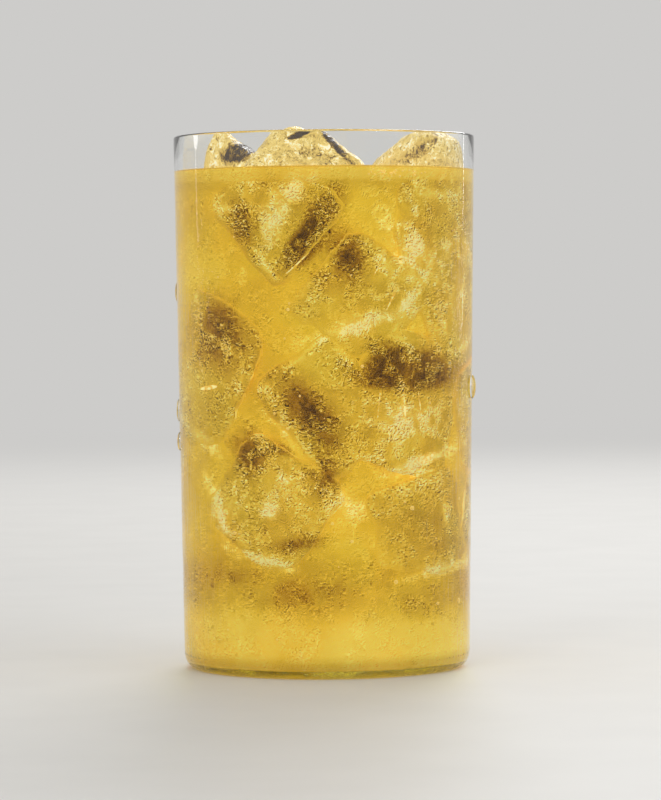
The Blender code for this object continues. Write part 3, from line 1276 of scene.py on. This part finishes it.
def make_bubbles(draw):
    bubbles = [(turn_of(across, BUBBLE_RADIUS), height, size) for across, height, size in SHOWN_BUBBLES]
    for _ in range(FURTHER_BUBBLES):
        bubbles.append((draw.uniform(0.0, 360.0), draw.uniform(9.0, 118.0), draw.uniform(0.25, 0.75)))
    for _ in range(FOAM_BUBBLES):
        height = DRINK_LEVEL / MILLIMETRE - draw.uniform(0.4, 2.2)
        bubbles.append((draw.uniform(12.0, 42.0), height, draw.uniform(0.25, 0.7)))
    pieces = []
    for turn, height, size in bubbles:
        radius = inner_radius(height * MILLIMETRE) - 0.5 * size * MILLIMETRE
        pieces.append(bent_sphere(radius, turn, height, (size, size, size), 0.0))
    return join(pieces, "bubbles_on_the_wall")


bubbles = make_bubbles(air)
report(bubbles)

# %% [markdown]
# ### The finish of the cracks and the bubbles
# A crack is mottled from gold to cream, and has a painted glow like the bubbles. A bubble is darkest
# in its middle and has a painted bright rim, a painted highlight, which Layer Weight finds, because it
# knows how far a surface turns away from the eye.

# %% Give the trapped air its finish
CRACK_MOTTLE = 0.0012


def crack_finish():
    sheet = Sheet("shining_crack")
    mottle = sheet.grain(CRACK_MOTTLE).ramp(0.4, 0.6)
    return painted_glow_finish(sheet, sheet.mix(srgb(222, 184, 76), srgb(252, 236, 178), mottle), 0.4)


def bubble_finish():
    sheet = Sheet("small_bubble")
    # A painted highlight round the rim of each bubble.
    rim = sheet.node("ShaderNodeLayerWeight", None, {"Blend": 0.5}, out="Facing").ramp(0.35, 0.75)
    return painted_glow_finish(sheet, sheet.mix(srgb(226, 190, 96), srgb(255, 246, 200), rim), 0.1)


for trapped, finish in ((cracks, crack_finish()), (bubbles, bubble_finish())):
    trapped.data.materials.append(finish)
    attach(trapped, "root")
    print(trapped.name, "has the finish", finish.name)

# %% [markdown]
# ### The finish of the standing ice
# Above the surface the ice is granular and cream coloured, with sharp dark holes and slits where it is
# clear and shows what lies behind. Clear holes would show only this pale studio, so they are painted
# dark, as painted shade. Bright facets are painted glints, and lit_grain paints light and shade on the
# grains. Below the surface the same pieces take the look of sunk ice, and a mask by height changes
# over at the level of the drink.

# %% Give the standing ice its finish
LUMPS = 0.0042
GRAINS = 0.0014
FACETS_PER_METRE = 900.0
# The painted glow of the standing ice, a share of its colour that it gives off itself.
STANDING_PAINTED_GLOW = 0.35
ICE_BENDS = 1.31
ICE_TONES = (
    (0.0, srgb(60, 44, 22)),
    (0.28, srgb(156, 124, 46)),
    (0.5, srgb(216, 186, 94)),
    (0.72, srgb(236, 212, 128)),
    (1.0, srgb(255, 250, 216)),
)


def standing_finish():
    sheet = Sheet("standing_ice")
    dry = sheet.height().ramp(DRINK_LEVEL - 0.0004, DRINK_LEVEL + 0.0004)
    spots = sheet.kept("spots")
    lumps = sheet.grain(LUMPS, detail=3.0, roughness=0.6, bend=0.6)
    grains, relief = sheet.lit_grain(GRAINS, detail=3.0, roughness=0.6, bend=1.2)
    cells = {"Vector": sheet.place, "Scale": FACETS_PER_METRE}
    facets = sheet.node("ShaderNodeTexVoronoi", None, cells, out="Color")
    facets = sheet.node("ShaderNodeSeparateXYZ", None, {0: facets}, out="X")
    painted_dark_holes = (spots * -1.2 + (lumps - 0.5) * 1.6 + (grains - 0.5) * 1.6).ramp(0.62, 0.74)
    painted_dark_slits = lumps.veins(16.0) * (spots * -1.0).ramp(0.02, 0.30)
    rough = lumps.ramp(0.40, 0.62, 0.4, 1.3)
    # The relief of lit_grain paints light and shade on the grains.
    tone = 0.57 + (lumps - 0.5) * 0.9 + ((grains - 0.5) * 0.5 + relief * 1.6) * rough
    # Painted glints on the brightest facets.
    tone = tone + grains.veins(14.0) * 0.16 + facets.ramp(0.92, 0.96) * 0.30 * rough
    # Painted shade: darker in the dark spots, with dark holes and slits where clear ice would show dark.
    tone = tone - (spots * -1.0).ramp(0.0, 0.7) * 0.20 - painted_dark_holes * 0.45 - painted_dark_slits * 0.40
    wet_tone, wet_pale, _ = sunk_look(sheet, ICE_FROST)
    wet = drink_colour(sheet, wet_tone, wet_pale)
    colour = sheet.mix(wet, sheet.palette(tone, ICE_TONES), dry)
    bumps = sheet.bump(lumps + grains + facets * 0.5, 0.7, 0.0007)
    return painted_glow_finish(sheet, colour, 0.12, STANDING_PAINTED_GLOW, IOR=ICE_BENDS, Normal=bumps)


standing_ice_finish = standing_finish()
for piece in standing.values():
    add_spots(piece)
    piece.data.materials.append(standing_ice_finish)
    print(piece.name, "has the finish", standing_ice_finish.name)
